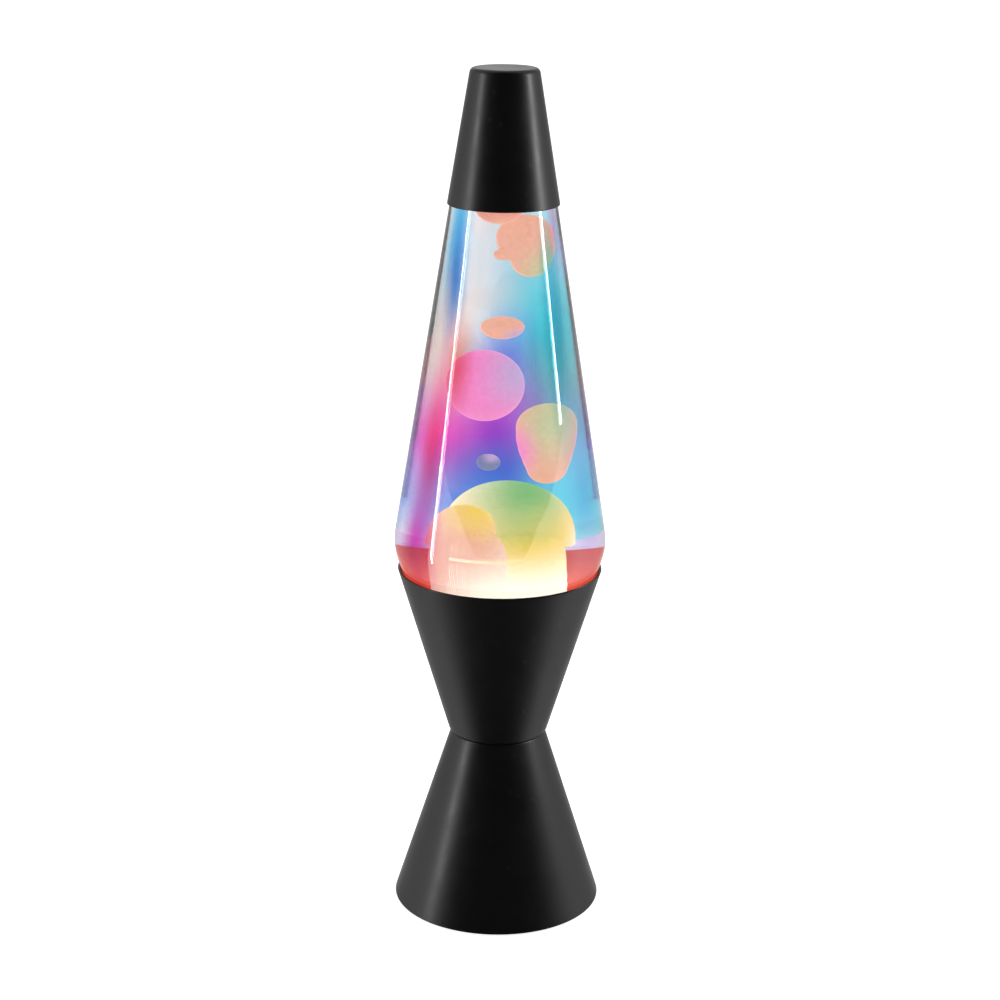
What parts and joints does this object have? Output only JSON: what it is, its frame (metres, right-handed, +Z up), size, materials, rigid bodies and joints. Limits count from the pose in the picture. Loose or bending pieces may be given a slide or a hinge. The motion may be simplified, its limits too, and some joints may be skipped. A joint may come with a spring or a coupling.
{
  "type": "lava lamp",
  "caption": "Tapered glass globe of tinted liquid and drifting wax, standing in a spun black metal cup on a flared cone base, with a black metal cap; lit by a bulb in the base.",
  "frame": {"origin": "centre of the lamp on the surface it stands on, under the undersides of the foot pads", "axes": "+Z up along the lamp's axis, -Y towards the front as pictured, cord inlet at the back on +Y"},
  "size_m": [0.091, 0.091, 0.368],
  "materials": {
    "black_aluminium": "satin",
    "globe_glass": "gloss",
    "lamp_liquid": "gloss",
    "wax_peach": "satin",
    "wax_pink": "satin",
    "wax_green": "satin",
    "wax_yellow": "satin",
    "wax_red": "satin",
    "zinc_steel": "satin",
    "crown_steel": "gloss",
    "porcelain": "satin",
    "shell_brass": "satin",
    "shell_nickel": "satin",
    "bulb_glass": "gloss",
    "stem_glass": "gloss",
    "bulb_insulator": "gloss",
    "contact_metal": "satin",
    "filament": "matte",
    "wire_black": "satin",
    "wire_white": "satin",
    "crimp_nylon": "satin",
    "bushing_black": "satin",
    "fibreboard": "matte",
    "foot_rubber": "matte",
    "liner_foam": "matte",
    "coil_steel": "satin"
  },
  "bodies": {
    "base": {"lower_cone": "black_aluminium", "upper_cup": "black_aluminium", "base_screws": "zinc_steel", "base_nuts": "zinc_steel", "socket_bracket": "zinc_steel", "threaded_nipple": "zinc_steel", "nipple_nut": "zinc_steel", "lock_washer": "zinc_steel", "socket_body": "porcelain", "socket_shell": "shell_brass", "socket_contact": "contact_metal", "socket_lead_black": "wire_black", "socket_lead_white": "wire_white", "crimp_caps": "crimp_nylon", "cord_bushing": "bushing_black", "bottom_cover": "fibreboard", "foot_pads": "foot_rubber"},
    "bulb_foot": {"bulb_contact": "contact_metal"},
    "bulb": {"bulb_insulator": "bulb_insulator", "bulb_screw_shell": "shell_nickel", "bulb_glass": "bulb_glass", "bulb_stem": "stem_glass", "bulb_lead_wires": "coil_steel", "bulb_filament": "filament"},
    "globe": {"globe_glass": "globe_glass", "crown_cap": "crown_steel", "cap_liner": "liner_foam", "liquid": "lamp_liquid", "wire_coil": "coil_steel", "wax_pool": "wax_red", "wax_mound": "wax_yellow", "wax_lobe": "wax_peach", "top_wax": "wax_peach"},
    "cloud": {"wax_cloud": "wax_peach", "wax_satellite": "wax_peach"},
    "disc": {"wax_disc": "wax_peach"},
    "ball": {"wax_ball": "wax_pink"},
    "pear": {"wax_pear": "wax_green"},
    "bead": {"wax_bead": "wax_green"},
    "cap": {"top_cap": "black_aluminium"}
  },
  "joints": [
    {"name": "globe_lift", "type": "slide", "parent": "base", "child": "globe", "axis": [0, 0, 1], "range_m": [0, 0.06]},
    {"name": "cap_lift", "type": "slide", "parent": "globe", "child": "cap", "axis": [0, 0, 1], "range_m": [0, 0.08]},
    {"name": "bulb_rise", "type": "slide", "parent": "base", "child": "bulb_foot", "axis": [0, 0, 1], "range_m": [0, 0.0085]},
    {"name": "bulb_turn", "type": "hinge", "parent": "bulb_foot", "child": "bulb", "pos_m": [0, 0, 0.0612], "axis": [0, 0, 1], "range_deg": [0, 1080]},
    {"name": "cloud_drift", "type": "slide", "parent": "globe", "child": "cloud", "axis": [0, 0, 1], "range_m": [-0.008, 0], "deforming": ["liquid"]},
    {"name": "disc_drift", "type": "slide", "parent": "globe", "child": "disc", "axis": [0, 0, 1], "range_m": [-0.015, 0.008], "deforming": ["liquid"]},
    {"name": "ball_drift", "type": "slide", "parent": "globe", "child": "ball", "axis": [0, 0, 1], "range_m": [-0.02, 0.006], "deforming": ["liquid"]},
    {"name": "pear_drift", "type": "slide", "parent": "globe", "child": "pear", "axis": [0, 0, 1], "range_m": [-0.001, 0.022], "deforming": ["liquid"]},
    {"name": "bead_drift", "type": "slide", "parent": "globe", "child": "bead", "axis": [0, 0, 1], "range_m": [-0.02, 0.04], "deforming": ["liquid"]}
  ],
  "couplings": [
    {"joint": "bulb_rise", "follows": "bulb_turn", "m_per_rad": 0.00044882}
  ]
}
